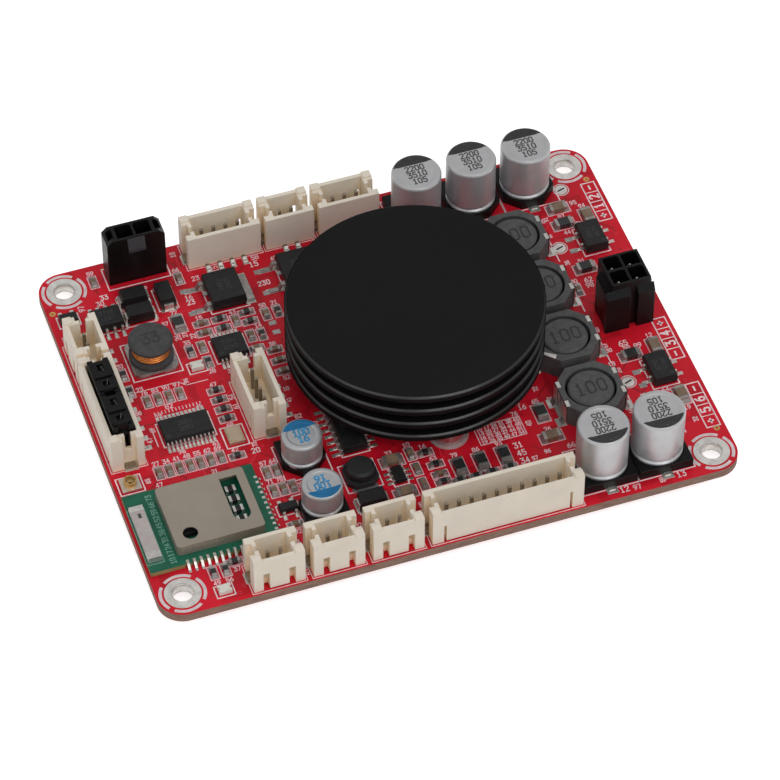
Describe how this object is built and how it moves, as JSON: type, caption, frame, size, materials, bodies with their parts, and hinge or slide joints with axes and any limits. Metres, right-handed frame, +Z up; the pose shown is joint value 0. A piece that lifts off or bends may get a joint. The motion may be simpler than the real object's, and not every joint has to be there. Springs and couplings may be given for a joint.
{
  "type": "audio amplifier board",
  "caption": "Red audio amplifier circuit board with a round finned heatsink, cream wire sockets along its edges, can capacitors, shielded inductors and a small radio module.",
  "frame": {"origin": "centre of the four mounting holes, on the underside of the board", "axes": "+Z up from the board's underside to its parts; +X along the board's long side, from the radio module towards the output inductors; +Y towards the edge with the power header"},
  "size_m": [0.092, 0.0716, 0.0176],
  "materials": {
    "board_red": "red solder mask over fibre sheet, with bare edges",
    "tinned": "tinned, satin",
    "screw_steel": "plated",
    "heatsink_black": "black anodised, satin",
    "pad_grey": "soft thermal pad",
    "package_black": "moulded, fine grain",
    "socket_cream": "moulded, cream",
    "header_black": "moulded, black",
    "can_aluminium": "drawn, satin",
    "ferrite": "pressed ferrite, matt",
    "copper": "enamelled copper wire",
    "radio_green": "green solder mask",
    "shield_metal": "plated sheet, satin",
    "antenna_ceramic": "white ceramic",
    "gold": "gold plated",
    "capacitor_tan": "tan ceramic",
    "resistor_black": "black glaze",
    "led_white": "clear lens on white",
    "crystal_metal": "plated lid"
  },
  "bodies": {
    "root": {"circuit_board": "board_red", "hole_lands": "tinned", "front_contacts": "tinned", "rear_contacts": "tinned", "side_contacts": "tinned", "power_pins": "tinned", "speaker_pins": "tinned", "capacitor_tabs": "tinned", "inductor_terminals": "tinned", "regulator_tabs": "tinned", "chip_leads": "tinned", "chip_ends": "tinned", "power_inductor_base": "tinned", "heatsink_spacers": "screw_steel", "heatsink_screws": "screw_steel", "heatsink": "heatsink_black", "thermal_pad": "pad_grey", "amplifier_chip": "package_black", "radio_chips": "package_black", "regulators": "package_black", "chip_packages": "package_black", "diodes": "package_black", "small_inductor": "package_black", "front_socket_1": "socket_cream", "front_socket_2": "socket_cream", "front_socket_3": "socket_cream", "front_socket_wide": "socket_cream", "rear_socket_1": "socket_cream", "rear_socket_2": "socket_cream", "rear_socket_3": "socket_cream", "side_socket_small": "socket_cream", "side_socket_large": "socket_cream", "inner_socket": "socket_cream", "power_header": "header_black", "speaker_header": "header_black", "jumper_plugs": "header_black", "capacitor_bases": "header_black", "capacitor_can_1": "can_aluminium", "capacitor_can_2": "can_aluminium", "capacitor_can_3": "can_aluminium", "capacitor_can_4": "can_aluminium", "capacitor_can_5": "can_aluminium", "small_can_1": "can_aluminium", "small_can_2": "can_aluminium", "output_inductor_1": "ferrite", "output_inductor_2": "ferrite", "output_inductor_3": "ferrite", "output_inductor_4": "ferrite", "inductor_drums": "ferrite", "power_inductor_core": "ferrite", "power_inductor_winding": "copper", "radio_board": "radio_green", "radio_shield": "shield_metal", "radio_antenna": "antenna_ceramic", "antenna_socket": "gold", "chip_capacitors": "capacitor_tan", "chip_resistors": "resistor_black", "indicator_leds": "led_white", "crystal": "crystal_metal"}
  },
  "joints": []
}
